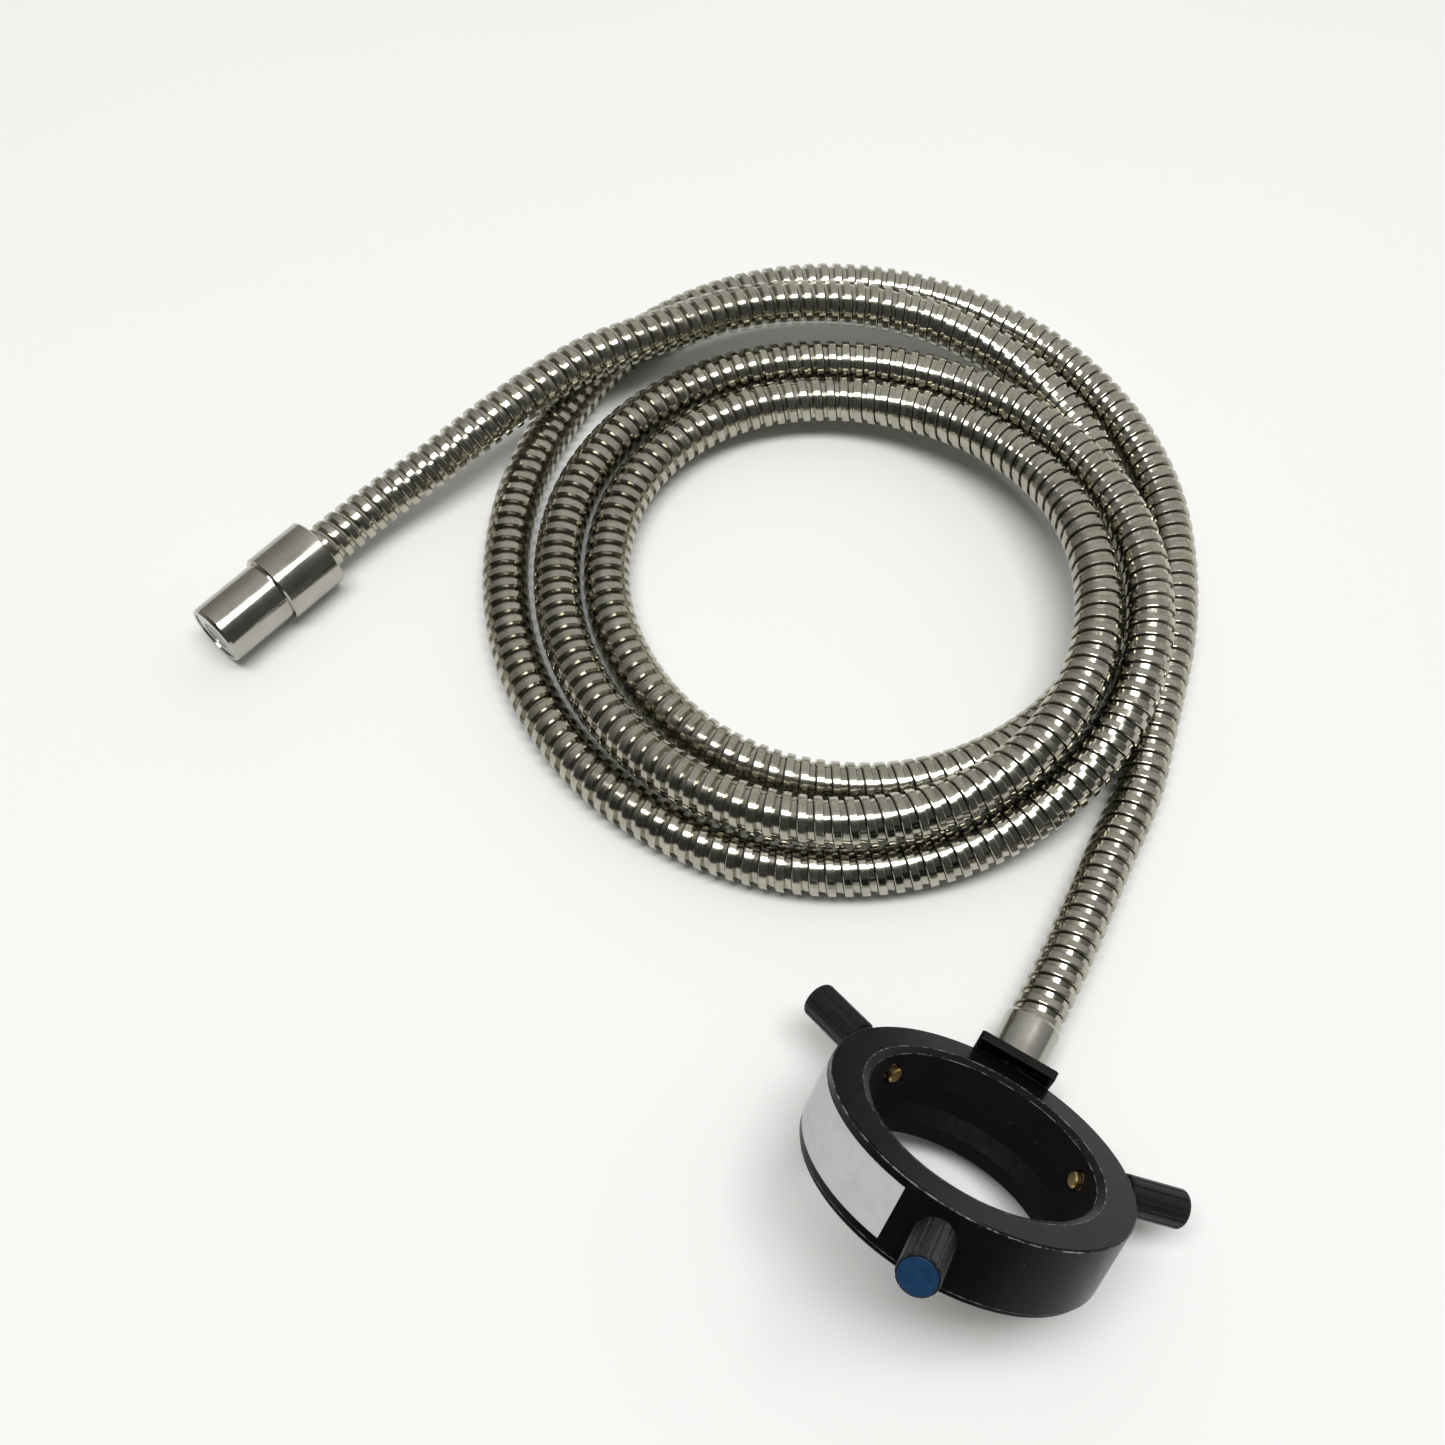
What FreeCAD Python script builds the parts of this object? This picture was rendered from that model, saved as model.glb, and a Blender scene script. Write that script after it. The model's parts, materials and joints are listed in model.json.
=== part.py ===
import FreeCAD, Part
import math
import os
import re

import Sketcher
from FreeCAD import Placement, Rotation, Vector

# Fibre-optic ring light guide for a stereo microscope: a black annular head that
# clamps round an objective with three thumbscrews, a coiled metal hose that holds
# the fibre bundle, and a polished ferrule that plugs into the light source.
# Lengths are in millimetres. The part lies on a table, the head leaning on its boss.

SIZES = {
    # Annular head, measured in its own frame: the top face is at zero, depths go down
    "bore_radius": 22.5,
    "ring_wall": 7.7,
    "bore_chamfer": 1.5,
    "chamfer_depth": 0.7,
    "edge_break": 0.35,
    "ring_depth": 14.5,
    "outer_wall": 2.2,
    "screw_floor": 0.2,
    "seat_height": 1.0,
    "liner_wall": 1.5,
    "lip_step": 2.0,
    "lip_wall": 1.2,
    "lip_length": 3.0,
    "lip_drop": 3.2,
    "cone_height": 3.0,
    "fit_clearance": 0.05,
    "cover_inset": 0.6,
    "cover_thickness": 1.1,
    "spigot_wall": 1.1,
    "spigot_height": 1.2,
    "exit_slot": 1.7,
    "fibre_turn_height": 2.5,
    # Blank label on the wall
    "label_top_depth": 1.85,
    "label_foot": 1.9,
    "label_thickness": 0.15,
    "label_angle": 90.0,
    "label_turn_angle": -60.0,
    # Thumbscrews
    "screw_depth": 5.0,
    "screw_count": 3.0,
    "stud_radius": 2.0,
    "running_clearance": 0.05,
    "tip_radius": 1.6,
    "tip_length": 1.5,
    "tip_chamfer": 0.3,
    "tip_reach": 1.3,
    "knob_gap": 1.4,
    "knob_radius": 3.8,
    "knob_length": 13.6,
    "knob_chamfer": 0.35,
    "neck_step": 0.6,
    "neck_length": 0.9,
    "stud_grip": 9.8,
    "flute_count": 12.0,
    "flute_radius": 0.5,
    "flute_depth": 0.22,
    "cap_rim": 0.4,
    "cap_seat": 0.7,
    "cap_proud": 0.2,
    # Boss, flange plate and sleeve
    "hose_angle": 45.0,
    "plate_drop": 3.5,
    "plate_width": 16.5,
    "plate_thickness": 1.8,
    "plate_corner": 0.6,
    "block_width": 15.3,
    "block_margin": 0.8,
    "block_foot": 5.6,
    "block_rise": 1.3,
    "sleeve_wall": 0.45,
    "sleeve_length": 9.6,
    "sleeve_chamfer": 0.6,
    "sleeve_spigot_radius": 4.5,
    "bundle_share": 0.45,
    "bundle_clearance": 0.1,
    "plate_screw_offset": 6.3,
    "plate_screw_radius": 0.8,
    "plate_screw_head_radius": 1.45,
    "plate_screw_head_height": 0.8,
    "plate_screw_length": 4.6,
    # Ferrule
    "collar_step": 1.1,
    "collar_length": 14.5,
    "collar_chamfer": 0.4,
    "ferrule_radius": 7.5,
    "ferrule_length": 16.8,
    "ferrule_bevel": 0.7,
    "undercut_width": 0.5,
    "undercut_depth": 0.3,
    "ferrule_spigot_radius": 5.2,
    "ferrule_spigot_length": 7.0,
    "ferrule_rim": 1.2,
    "insert_length": 4.0,
    "insert_recess": 0.25,
    "fibre_end_radius": 3.5,
    "fibre_end_recess": 0.35,
    # Hose
    "hose_radius": 5.45,
    # Pose of the head on the table
    "head_x": -3.633,
    "head_y": 0.007,
    "head_z": 34.13,
    "head_spin": 182.6,
    "head_tilt": 47.03,
    "head_azimuth": 57.27,
    # Pose of the ferrule
    "ferrule_heading": 228.1,
}

# Where the ferrule's collar meets the hose, on the table
FERRULE_START = (-145.8, 142.2)

# The hose between the sleeve and the coil, chosen to follow the photograph.
# The sleeve and the coil give the first and the last two points.
RING_END_POINTS = [
    (32.0, 65.5, 6.0),
]

# The coil: the points where a turn is furthest right, up, left or down, in order
COIL_START = (47.8, 104.0, 5.5)
COIL_START_HEADING = 72.0
COIL_EXTREMES = [
    (56.0, 148.0, 5.5),
    (-24.0, 228.0, 5.5),
    (-102.0, 140.5, 5.5),
    (-23.5, 62.0, 5.5),
    (45.5, 126.0, 18.0),
    (-28.0, 199.0, 8.5),
    (-89.5, 139.5, 8.5),
    (-24.0, 69.0, 16.0),
    (33.5, 126.5, 19.5),
    (-28.5, 187.0, 9.0),
    (-78.0, 139.5, 7.0),
    (-21.0, 81.5, 7.0),
    (44.0, 148.0, 6.0),
    (-21.5, 214.0, 13.5),
]
COIL_END = (-63.0, 203.5, 17.5)
COIL_END_HEADING = 206.0

# The hose between the coil and the ferrule
SOURCE_END_POINTS = [
    (-103.5, 178.0, 16.5),
    (-121.0, 164.0, 12.0),
]

# The hose's first run out of the sleeve and the coil, and its last into the ferrule
EXIT_RUN = 14.0
ENTRY_RUN = 15.0

# How much of the shorter run each arc of the hose may use
ARC_SHARE = 0.45

# The circle on which a sketch's corners start, before their constraints place them
ROUGH_RADIUS = 10.0

SCREW_NAMES = ["front", "right", "left"]

doc = FreeCAD.newDocument("ring_light_guide")
sheet = doc.addObject("Spreadsheet::Sheet", "Size")
for row, (alias, value) in enumerate(SIZES.items(), start=1):
    sheet.set(f"A{row}", alias)
    sheet.set(f"B{row}", str(value))
    sheet.setAlias(f"B{row}", alias)
doc.recompute()

nodes = []


def size(alias):
    return float(getattr(sheet, alias))


def bound(text):
    """Write each size's name in an expression as the sheet's cell."""
    def as_cell(found):
        return "Size." + found.group() if found.group() in SIZES else found.group()

    return re.sub(r"[a-z_]+", as_cell, text)


def keep(item, label, place):
    """Give a finished piece its label and place, and list it for export."""
    item.Label = label
    item.Placement = place
    nodes.append(item)
    return item


# Sketches and bodies

def origin_feature(body, role):
    return next(item for item in body.Origin.OriginFeatures if item.Role == role)


def new_sketch(body, role, name):
    sketch = body.newObject("Sketcher::SketchObject", name)
    sketch.AttachmentSupport = [(origin_feature(body, role), "")]
    sketch.MapMode = "FlatFace"
    return sketch


def add_polygon(sketch, corners):
    """A closed outline whose corners are pairs of expressions in the sheet's sizes."""
    count = len(corners)
    angles = [math.tau * i / count for i in range(count)]
    rough = [Vector(math.cos(angle), math.sin(angle), 0) * ROUGH_RADIUS for angle in angles]
    first = sketch.GeometryCount
    for i in range(count):
        sketch.addGeometry(Part.LineSegment(rough[i], rough[(i + 1) % count]))
    for i in range(count):
        sketch.addConstraint(
            Sketcher.Constraint("Coincident", first + i, 2, first + (i + 1) % count, 1))
    for i, (across, upward) in enumerate(corners):
        bind(sketch, ("DistanceX", -1, 1, first + i, 1, rough[i].x), across)
        bind(sketch, ("DistanceY", -1, 1, first + i, 1, rough[i].y), upward)


def add_circle(sketch, across, upward, radius):
    first = sketch.GeometryCount
    sketch.addGeometry(Part.Circle(Vector(1, 1, 0), Vector(0, 0, 1), 1))
    bind(sketch, ("DistanceX", -1, 1, first, 3, 1), across)
    bind(sketch, ("DistanceY", -1, 1, first, 3, 1), upward)
    bind(sketch, ("Radius", first, 1), radius)


def bind(sketch, constraint, expression):
    index = sketch.addConstraint(Sketcher.Constraint(*constraint))
    sketch.setExpression(f"Constraints[{index}]", bound(expression))


def turned(name, corners, arc=None):
    """A piece of revolution about its Z axis; corners are radius and height."""
    body = doc.addObject("PartDesign::Body", name)
    sketch = new_sketch(body, "XZ_Plane", name + "_profile")
    add_polygon(sketch, corners)
    turn = body.newObject("PartDesign::Revolution", name + "_turn")
    turn.Profile = sketch
    turn.ReferenceAxis = (sketch, ["V_Axis"])
    turn.Angle = 360
    if arc:
        turn.Midplane = True
        turn.setExpression("Angle", bound(arc))
    return body


def pocket_through(body, sketch, name):
    pocket = body.newObject("PartDesign::Pocket", name)
    pocket.Profile = sketch
    pocket.Type = "ThroughAll"
    return pocket


def around(body, feature, name, count):
    """Repeat a feature round the body's Z axis."""
    pattern = body.newObject("PartDesign::PolarPattern", name)
    pattern.Originals = [feature]
    pattern.Axis = (origin_feature(body, "Z_Axis"), [""])
    pattern.Angle = 360
    pattern.setExpression("Occurrences", bound(count))
    body.Tip = pattern
    return pattern


def cylinder(name, radius, height, place):
    rod = doc.addObject("Part::Cylinder", name)
    rod.setExpression("Radius", bound(radius))
    rod.setExpression("Height", bound(height))
    rod.Placement = place
    return rod


def cone(name, low_radius, high_radius, height, place):
    taper = doc.addObject("Part::Cone", name)
    taper.setExpression("Radius1", bound(low_radius))
    taper.setExpression("Radius2", bound(high_radius))
    taper.setExpression("Height", bound(height))
    taper.Placement = place
    return taper


def fused(name, pieces):
    joined = doc.addObject("Part::MultiFuse", name)
    joined.Shapes = pieces
    return joined


def cut_away(name, base, tool):
    result = doc.addObject("Part::Cut", name)
    result.Base = base
    result.Tool = tool
    return result


def shift(x=0.0, y=0.0, z=0.0):
    return Placement(Vector(x, y, z), Rotation())


# Frames: the head on the table, the flange plate on the head, each screw, the ferrule

UP = Vector(0, 0, 1)
ACROSS = Vector(0, 1, 0)

head = (
    shift(size("head_x"), size("head_y"), size("head_z"))
    * Placement(Vector(), Rotation(UP, size("head_azimuth")))
    * Placement(Vector(), Rotation(ACROSS, size("head_tilt")))
    * Placement(Vector(), Rotation(UP, size("head_spin")))
)

plate_turn = Rotation(ACROSS, size("hose_angle") - 90)
ring_outer = size("bore_radius") + size("ring_wall")
channel_top = sum(size(name) for name in ("screw_depth", "stud_radius", "screw_floor", "seat_height"))
rim_point = Vector(-ring_outer, 0, 0)
plate_on_head = Placement(
    rim_point + plate_turn.multVec(Vector(-size("plate_drop"), 0, size("fit_clearance"))),
    plate_turn)


def screw_frame(index):
    """Z runs outward along the screw, measured from the ring's axis."""
    azimuth = 360 * index / size("screw_count")
    return (
        Placement(Vector(), Rotation(UP, azimuth))
        * shift(z=-size("screw_depth"))
        * Placement(Vector(), Rotation(ACROSS, 90))
    )


ferrule_heading = math.radians(size("ferrule_heading"))
ferrule_way = Vector(math.cos(ferrule_heading), math.sin(ferrule_heading), 0)
ferrule_start = Vector(*FERRULE_START, size("ferrule_radius") + size("collar_step"))
ferrule = Placement(ferrule_start, Rotation(UP, ferrule_way))


# Radii and heights of the head that several pieces share

RING_OUTER = "(bore_radius + ring_wall)"
CHANNEL_OUTER = "(bore_radius + ring_wall - outer_wall)"
LINER_OUTER = "(bore_radius + liner_wall)"
COVER_OUTER = "(bore_radius + ring_wall - cover_inset)"
LIP_INNER = "(bore_radius - lip_step)"
LIP_OUTER = "(bore_radius - lip_step + lip_wall)"
BUNDLE_RADIUS = "((ring_wall - outer_wall - liner_wall) * bundle_share)"
BUNDLE_BORE = "(" + BUNDLE_RADIUS + " + bundle_clearance)"
SEAT_TOP = "-(screw_depth + stud_radius + screw_floor)"
CHANNEL_TOP = "-(screw_depth + stud_radius + screw_floor + seat_height)"
FIBRE_TURN = "-(ring_depth - fibre_turn_height)"
LIP_TOP = "-(ring_depth + lip_drop - lip_length)"
LIP_END = "-(ring_depth + lip_drop)"
CONE_TOP = "-(ring_depth + lip_drop - lip_length - cone_height)"
COVER_END = "-(ring_depth + cover_thickness)"


def make_ring_housing():
    body = turned("ring_housing_turned", [
        ("bore_radius + bore_chamfer", "0"),
        (RING_OUTER + " - edge_break", "0"),
        (RING_OUTER, "-edge_break"),
        (RING_OUTER, "-(ring_depth - edge_break)"),
        (RING_OUTER + " - edge_break", "-ring_depth"),
        (CHANNEL_OUTER, "-ring_depth"),
        (CHANNEL_OUTER, CHANNEL_TOP),
        (LINER_OUTER + " + fit_clearance", CHANNEL_TOP),
        (LINER_OUTER + " + fit_clearance", SEAT_TOP),
        ("bore_radius", SEAT_TOP),
        ("bore_radius", "-chamfer_depth"),
    ])
    holes = new_sketch(body, "YZ_Plane", "screw_hole_circle")
    add_circle(holes, "0", "-screw_depth", "stud_radius + running_clearance")
    hole = pocket_through(body, holes, "screw_hole")
    hole.Reversed = True
    around(body, hole, "screw_holes", "screw_count")
    passage = bundle_rod("bundle_passage", BUNDLE_BORE)
    keep(cut_away("ring_housing_cut", body, passage), "ring_housing", head)


def bundle_rod(name, radius):
    """The round bundle from the sleeve's end down to the fibre channel's roof."""
    place = plate_on_head * shift(z=-ring_outer / 2)
    length = RING_OUTER + " / 2 + plate_thickness + sleeve_length - bundle_clearance"
    rod = cylinder(name + "_rod", radius, length, place)
    room = cylinder(name + "_room", "2 * " + RING_OUTER, RING_OUTER, shift(z=-channel_top))
    trimmed = doc.addObject("Part::Common", name)
    trimmed.Base = rod
    trimmed.Tool = room
    return trimmed


def make_liner():
    keep(turned("liner", [
        ("bore_radius", SEAT_TOP + " - fit_clearance"),
        (LINER_OUTER, SEAT_TOP + " - fit_clearance"),
        (LINER_OUTER, CONE_TOP),
        (LIP_OUTER, LIP_TOP),
        (LIP_OUTER, LIP_END),
        (LIP_INNER, LIP_END),
        (LIP_INNER, LIP_TOP),
        ("bore_radius", CONE_TOP),
    ]), "bore_liner", head)


def make_fibre_ring():
    inner = LINER_OUTER + " + fit_clearance"
    outer = CHANNEL_OUTER + " - fit_clearance"
    slot_inner = LIP_OUTER + " + fit_clearance"
    keep(turned("fibres", [
        (inner, CHANNEL_TOP + " - fit_clearance"),
        (outer, CHANNEL_TOP + " - fit_clearance"),
        (outer, FIBRE_TURN),
        (slot_inner + " + exit_slot", COVER_END),
        (slot_inner, COVER_END),
        (slot_inner, LIP_TOP),
        (inner, CONE_TOP),
    ]), "fibre_ring", head)


def make_cover_ring():
    exit_outer = LIP_OUTER + " + fit_clearance + exit_slot"
    spigot_outer = CHANNEL_OUTER + " - fit_clearance"
    flare = ("(" + spigot_outer + " - (" + exit_outer + "))"
             " / (cover_thickness + fibre_turn_height)")
    keep(turned("cover", [
        (COVER_OUTER, "-ring_depth"),
        (COVER_OUTER, "-(ring_depth + cover_thickness - edge_break)"),
        (COVER_OUTER + " - edge_break", COVER_END),
        (exit_outer + " + 2 * fit_clearance", COVER_END),
        (exit_outer + " + 2 * fit_clearance + cover_thickness * " + flare, "-ring_depth"),
        (spigot_outer + " - spigot_wall", "-ring_depth"),
        (spigot_outer + " - spigot_wall", "-(ring_depth - spigot_height)"),
        (spigot_outer, "-(ring_depth - spigot_height)"),
        (spigot_outer, "-ring_depth"),
    ]), "bottom_cover_ring", head)


def make_label():
    inner = RING_OUTER + " + fit_clearance"
    turn = Placement(Vector(), Rotation(UP, size("label_turn_angle")))
    keep(turned("label", [
        (inner, "-(ring_depth - label_foot)"),
        (inner + " + label_thickness", "-(ring_depth - label_foot)"),
        (inner + " + label_thickness", "-label_top_depth"),
        (inner, "-label_top_depth"),
    ], "label_angle"), "blank_label", head * turn)


# Boss, flange plate, sleeve and the bundle that they guide

def make_plate_screws():
    """Two countersunk screws and the holes that they take in the plate and the block."""
    height = size("plate_thickness")
    clearance = size("fit_clearance")
    screws = []
    holes = []
    for side in (-1, 1):
        tag = "a" if side < 0 else "b"
        spot = shift(-size("plate_screw_offset"), side * size("plate_screw_offset"), 0)
        foot = spot * shift(z=height - size("plate_screw_length"))
        rim = spot * shift(z=height - size("plate_screw_head_height"))
        shank = cylinder("plate_shank_" + tag, "plate_screw_radius",
                         "plate_screw_length - plate_screw_head_height", foot)
        head_cone = cone("plate_head_" + tag, "plate_screw_radius", "plate_screw_head_radius",
                         "plate_screw_head_height", rim)
        screws.append(fused("plate_screw_" + tag, [shank, head_cone]))
        bore = cylinder("plate_bore_" + tag, "plate_screw_radius + fit_clearance",
                        "plate_screw_length", foot * shift(z=-clearance))
        sink = cone("plate_sink_" + tag, "plate_screw_radius + fit_clearance",
                    "plate_screw_head_radius + fit_clearance", "plate_screw_head_height", rim)
        holes.append(fused("plate_hole_" + tag, [bore, sink]))
    group = doc.addObject("Part::Compound", "plate_screws")
    group.Links = screws
    keep(group, "flange_screws", head * plate_on_head)
    return fused("plate_holes", holes)


def make_plate(holes):
    body = doc.addObject("PartDesign::Body", "plate_blank")
    sketch = new_sketch(body, "XY_Plane", "plate_outline")
    far = "plate_width / 2"
    near = "(plate_width / 2 - plate_corner)"
    add_polygon(sketch, [
        (far, near), (near, far), ("-" + near, far), ("-" + far, near),
        ("-" + far, "-" + near), ("-" + near, "-" + far), (near, "-" + far), (far, "-" + near),
    ])
    add_circle(sketch, "0", "0", "sleeve_spigot_radius + fit_clearance")
    pad = body.newObject("PartDesign::Pad", "plate_pad")
    pad.Profile = sketch
    pad.setExpression("Length", bound("plate_thickness"))
    keep(cut_away("plate_cut", body, holes), "flange_plate", head * plate_on_head)


def make_block(holes):
    """The wedge that fills the corner between the ring's wall and the tilted plate."""
    body = doc.addObject("PartDesign::Body", "block_blank")
    sketch = new_sketch(body, "XZ_Plane", "block_outline")
    slope_x = "sin(hose_angle)"
    slope_z = "cos(hose_angle)"
    low = "(plate_width / 2 - block_margin + plate_drop)"
    inside = "(bore_radius + ring_wall / 2)"
    base = "-(ring_depth - block_rise)"
    add_polygon(sketch, [
        ("-" + RING_OUTER, "0"),
        ("-" + RING_OUTER + " - " + low + " * " + slope_x, "-" + low + " * " + slope_z),
        ("-" + RING_OUTER + " - " + low + " * " + slope_x + " + block_foot * " + slope_z,
         "-" + low + " * " + slope_z + " - block_foot * " + slope_x),
        ("-" + RING_OUTER, base),
        ("-" + inside, base),
        ("-" + inside, "0"),
    ])
    pad = body.newObject("PartDesign::Pad", "block_pad")
    pad.Profile = sketch
    pad.Midplane = True
    pad.setExpression("Length", bound("block_width"))
    wall = new_sketch(body, "XY_Plane", "block_wall")
    add_circle(wall, "0", "0", RING_OUTER + " + fit_clearance")
    pocket = pocket_through(body, wall, "block_seat")
    pocket.Midplane = True
    holes_on_head = doc.addObject("Part::Compound", "block_screw_holes")
    holes_on_head.Links = [holes]
    holes_on_head.Placement = plate_on_head
    passage = bundle_rod("block_passage", BUNDLE_BORE)
    tools = fused("block_holes", [holes_on_head, passage])
    keep(cut_away("block_cut", body, tools), "boss_block", head)


def make_sleeve():
    outer = "hose_radius + sleeve_wall"
    end = "plate_thickness + sleeve_length"
    keep(turned("sleeve", [
        (BUNDLE_BORE, "fit_clearance"),
        ("sleeve_spigot_radius", "fit_clearance"),
        ("sleeve_spigot_radius", "plate_thickness"),
        (outer, "plate_thickness"),
        (outer, end + " - sleeve_chamfer"),
        (outer + " - sleeve_chamfer / 2", end),
        (BUNDLE_BORE, end),
    ]), "hose_sleeve", head * plate_on_head)


def make_bundle():
    keep(bundle_rod("bundle", BUNDLE_RADIUS), "fibre_bundle", head)


# Thumbscrews

def make_thumbscrew(index, name):
    frame = head * screw_frame(index)
    tip = "bore_radius - tip_reach"
    knob_start = RING_OUTER + " + knob_gap"
    knob_end = knob_start + " + knob_length"
    shoulder = tip + " + tip_length + stud_radius - tip_radius"
    keep(turned("stud_" + name, [
        ("0", tip),
        ("tip_radius - tip_chamfer", tip),
        ("tip_radius", tip + " + tip_chamfer"),
        ("tip_radius", tip + " + tip_length"),
        ("stud_radius", shoulder),
        ("stud_radius", knob_start + " + stud_grip"),
        ("0", knob_start + " + stud_grip"),
    ]), "thumbscrew_stud_" + name, frame)

    grip_end = knob_start + " + stud_grip + fit_clearance"
    bore = "stud_radius + running_clearance"
    neck = "knob_radius - neck_step"
    cap = "knob_radius - cap_rim"
    body = turned("knob_" + name, [
        (bore, knob_start),
        (neck, knob_start),
        (neck, knob_start + " + neck_length"),
        ("knob_radius - knob_chamfer", knob_start + " + neck_length"),
        ("knob_radius", knob_start + " + neck_length + knob_chamfer"),
        ("knob_radius", knob_end + " - knob_chamfer"),
        ("knob_radius - knob_chamfer / 2", knob_end),
        (cap + " + fit_clearance", knob_end),
        (cap + " + fit_clearance", knob_end + " - cap_seat"),
        ("0", knob_end + " - cap_seat"),
        ("0", grip_end),
        (bore, grip_end),
    ])
    flutes = new_sketch(body, "XY_Plane", "flute_circle_" + name)
    add_circle(flutes, "knob_radius + flute_radius - flute_depth", "0", "flute_radius")
    flute = pocket_through(body, flutes, "flute_" + name)
    flute.Midplane = True
    around(body, flute, "flutes_" + name, "flute_count")
    keep(body, "thumbscrew_knob_" + name, frame)

    cap_low = knob_end + " - cap_seat + fit_clearance"
    keep(turned("cap_" + name, [
        ("0", cap_low),
        (cap, cap_low),
        (cap, knob_end + " + cap_proud / 2"),
        (cap + " - cap_proud", knob_end + " + cap_proud"),
        ("0", knob_end + " + cap_proud"),
    ]), "thumbscrew_cap_" + name, frame)


# Ferrule that plugs into the light source

def make_ferrule():
    total = "collar_length + ferrule_length"
    collar = "ferrule_radius + collar_step"
    insert = "ferrule_radius - ferrule_rim"
    fibre_bore = "fibre_end_radius + fit_clearance"
    socket = "ferrule_spigot_radius + fit_clearance"
    spigot_start = "collar_length - ferrule_spigot_length"
    keep(turned("collar", [
        (fibre_bore, "0"),
        (collar + " - collar_chamfer", "0"),
        (collar, "collar_chamfer"),
        (collar, "collar_length - collar_chamfer"),
        (collar + " - collar_chamfer", "collar_length"),
        (socket, "collar_length"),
        (socket, spigot_start + " - fit_clearance"),
        (fibre_bore, spigot_start + " - fit_clearance"),
    ]), "ferrule_collar", ferrule)
    keep(turned("tube", [
        (fibre_bore, spigot_start),
        ("ferrule_spigot_radius", spigot_start),
        ("ferrule_spigot_radius", "collar_length"),
        ("ferrule_radius - undercut_depth", "collar_length"),
        ("ferrule_radius - undercut_depth", "collar_length + undercut_width"),
        ("ferrule_radius", "collar_length + undercut_width"),
        ("ferrule_radius", total + " - ferrule_bevel"),
        ("ferrule_radius - ferrule_bevel / 2", total),
        (insert + " + fit_clearance", total),
        (insert + " + fit_clearance", total + " - insert_length - fit_clearance"),
        (fibre_bore, total + " - insert_length - fit_clearance"),
    ]), "ferrule_tube", ferrule)
    keep(turned("insert", [
        (fibre_bore, total + " - insert_length"),
        (insert, total + " - insert_length"),
        (insert, total + " - insert_recess"),
        (fibre_bore, total + " - insert_recess"),
    ]), "ferrule_insert", ferrule)
    keep(turned("fibre_end", [
        ("0", "fit_clearance"),
        ("fibre_end_radius", "fit_clearance"),
        ("fibre_end_radius", total + " - fibre_end_recess"),
        ("0", total + " - fibre_end_recess"),
    ]), "fibre_end", ferrule)


# Hose

def straight_and_arcs(points, label):
    """A path of straight runs joined by tangent arcs, as large as the runs allow."""
    edges = []
    here = points[0]
    radii = []
    for before, corner, after in zip(points, points[1:], points[2:]):
        arriving = corner - before
        leaving = after - corner
        cut = ARC_SHARE * min(arriving.Length, leaving.Length)
        half_turn = arriving.getAngle(leaving) / 2
        radius = cut / math.tan(half_turn)
        radii.append(radius)
        first = corner - arriving.normalize() * cut
        last = corner + leaving.normalize() * cut
        inward = (first + last) * 0.5 - corner
        middle = corner + inward.normalize() * (radius / math.cos(half_turn) - radius)
        edges.append(Part.LineSegment(here, first).toShape())
        edges.append(Part.Arc(first, middle, last).toShape())
        here = last
    edges.append(Part.LineSegment(here, points[-1]).toShape())
    print(label, "arc radii", [round(radius, 1) for radius in radii])
    return Part.Wire(edges)


def heading_vector(degrees):
    angle = math.radians(degrees)
    return Vector(math.cos(angle), math.sin(angle), 0)


def arc_from(start, way, end):
    """The circular arc that leaves start along way and ends at end."""
    chord = end - start
    along = Vector(chord).normalize()
    bend = along.getAngle(way)
    sideways = (along - way * along.dot(way)).normalize()
    radius = chord.Length / (2 * math.sin(bend))
    middle = start + way * (radius * math.sin(bend)) + sideways * (radius * (1 - math.cos(bend)))
    return Part.Arc(start, middle, end).toShape()


def biarc(start, start_way, end, end_way):
    """Two tangent arcs that join two points with the given directions."""
    chord = end - start
    ways = start_way + end_way
    spread = 2 * (1 - start_way.dot(end_way))
    reach = chord.dot(ways)
    leg = (math.sqrt(reach * reach + spread * chord.dot(chord)) - reach) / spread
    middle = (start + end + (start_way - end_way) * leg) * 0.5
    middle_way = (middle - start - start_way * leg).normalize()
    return [arc_from(start, start_way, middle), arc_from(middle, middle_way, end)]


def coil_path():
    """Quarter-turn biarcs through the coil's extreme points, straight at both ends."""
    straight = 2 * size("hose_radius")
    stops = [(Vector(*COIL_START), heading_vector(COIL_START_HEADING))]
    for quarter, point in enumerate(COIL_EXTREMES):
        stops.append((Vector(*point), heading_vector(90 + 90 * quarter)))
    stops.append((Vector(*COIL_END), heading_vector(COIL_END_HEADING)))
    first, first_way = stops[0]
    last, last_way = stops[-1]
    begin = first - first_way * straight
    finish = last + last_way * straight
    edges = [Part.LineSegment(begin, first).toShape()]
    for (start, start_way), (end, end_way) in zip(stops, stops[1:]):
        edges.extend(biarc(start, start_way, end, end_way))
    edges.append(Part.LineSegment(last, finish).toShape())
    return Part.Wire(edges), begin, first_way, finish, last_way


def hose_tube(name, path, start, way):
    """A round tube along a path, with its volume checked against section times length."""
    radius = size("hose_radius")
    section = Part.Wire([Part.Circle(start, way, radius).toShape()])
    solid = path.makePipeShell([section], True, False)
    item = doc.addObject("Part::Feature", name)
    item.Shape = solid
    share = solid.Volume / (math.pi * radius ** 2 * path.Length)
    print(name, "length", round(path.Length, 1), "volume share", round(share, 4))
    keep(item, name, Placement())


def print_least_gap(path):
    """Print the coil's least gap to itself, measured on points along its path."""
    step = 4.0
    apart = 45.0
    count = int(path.Length / step)
    points = path.discretize(count)
    ahead = int(apart / step)
    least = min(
        (points[i] - points[j]).Length
        for i in range(count) for j in range(i + ahead, count))
    print("coil's least gap to itself", round(least - 2 * size("hose_radius"), 2))


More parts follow.
